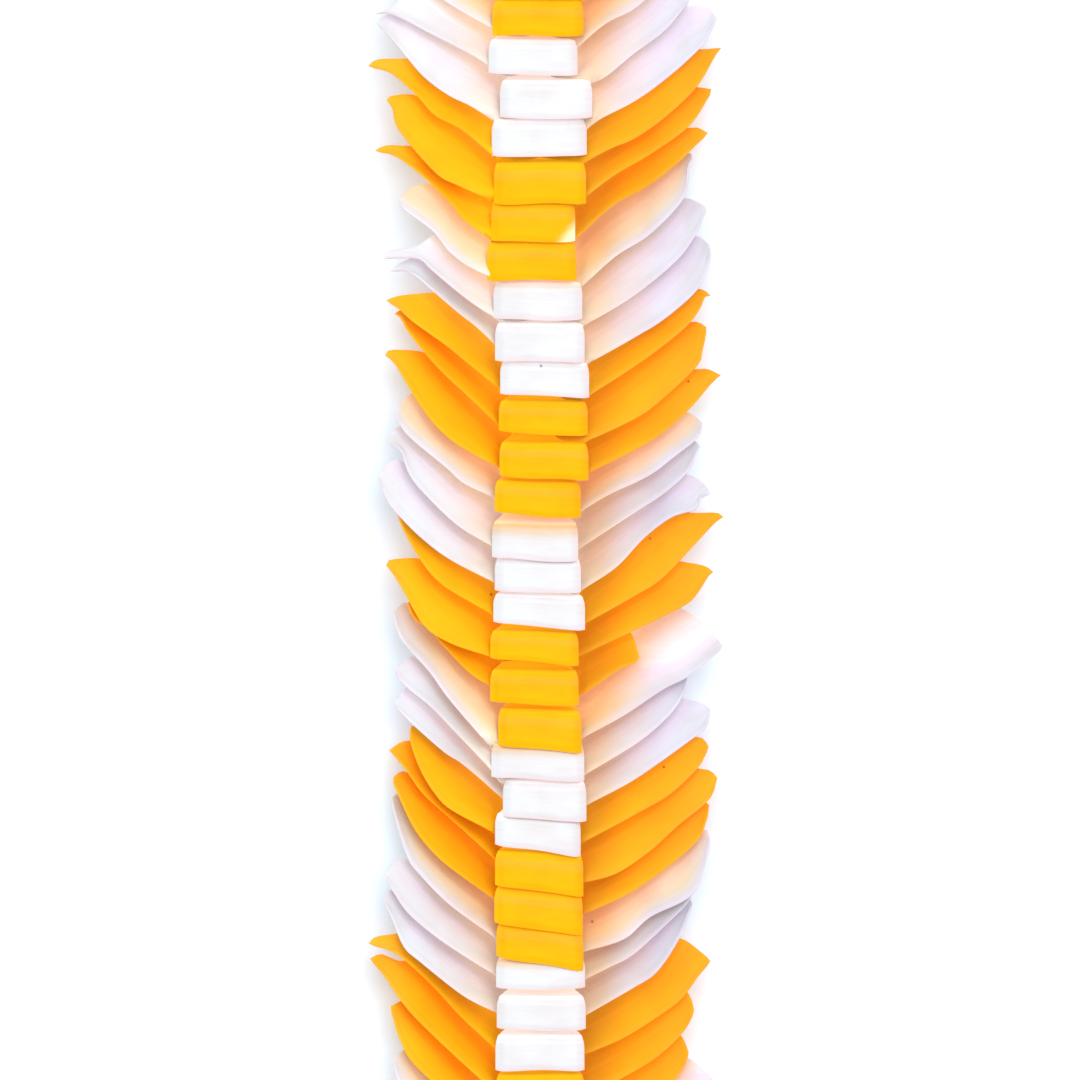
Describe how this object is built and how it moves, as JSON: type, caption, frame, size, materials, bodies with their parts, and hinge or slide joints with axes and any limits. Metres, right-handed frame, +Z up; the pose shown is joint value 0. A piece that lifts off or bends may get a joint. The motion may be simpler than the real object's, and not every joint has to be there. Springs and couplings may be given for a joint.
{
  "type": "orchid petal lei",
  "caption": "Closed flower lei of folded orchid petals strung side by side on a thread, orange and white by turns, laid flat as a long loop.",
  "frame": {"origin": "middle of the loop's bounding box, on the surface that it lies on", "axes": "+Z up, the way the tabs face; +Y along the loop's length, the way the petals point on its straight side at -X; +X across the loop"},
  "size_m": [0.2139, 0.4268, 0.013],
  "materials": {
    "orange_petal": "waxy satin petal",
    "white_petal": "waxy satin petal",
    "cotton_thread": "matt twisted cotton"
  },
  "bodies": {
    "root": {"petals_orange_01": "orange_petal", "petals_orange_02": "orange_petal", "petals_orange_03": "orange_petal", "petals_orange_04": "orange_petal", "petals_orange_05": "orange_petal", "petals_orange_06": "orange_petal", "petals_orange_07": "orange_petal", "petals_orange_08": "orange_petal", "petals_orange_09": "orange_petal", "petals_orange_10": "orange_petal", "petals_orange_11": "orange_petal", "petals_orange_12": "orange_petal", "petals_orange_13": "orange_petal", "petals_orange_14": "orange_petal", "petals_orange_15": "orange_petal", "petals_orange_16": "orange_petal", "petals_orange_17": "orange_petal", "petals_orange_18": "orange_petal", "petals_orange_19": "orange_petal", "petals_orange_20": "orange_petal", "petals_orange_21": "orange_petal", "petals_orange_22": "orange_petal", "petals_orange_23": "orange_petal", "petals_orange_24": "orange_petal", "petals_orange_25": "orange_petal", "petals_orange_26": "orange_petal", "petals_orange_27": "orange_petal", "petals_orange_28": "orange_petal", "petals_white_01": "white_petal", "petals_white_02": "white_petal", "petals_white_03": "white_petal", "petals_white_04": "white_petal", "petals_white_05": "white_petal", "petals_white_06": "white_petal", "petals_white_07": "white_petal", "petals_white_08": "white_petal", "petals_white_09": "white_petal", "petals_white_10": "white_petal", "petals_white_11": "white_petal", "petals_white_12": "white_petal", "petals_white_13": "white_petal", "petals_white_14": "white_petal", "petals_white_15": "white_petal", "petals_white_16": "white_petal", "petals_white_17": "white_petal", "petals_white_18": "white_petal", "petals_white_19": "white_petal", "petals_white_20": "white_petal", "petals_white_21": "white_petal", "petals_white_22": "white_petal", "petals_white_23": "white_petal", "petals_white_24": "white_petal", "petals_white_25": "white_petal", "petals_white_26": "white_petal", "petals_white_27": "white_petal", "petals_white_28": "white_petal", "thread": "cotton_thread"}
  },
  "joints": []
}
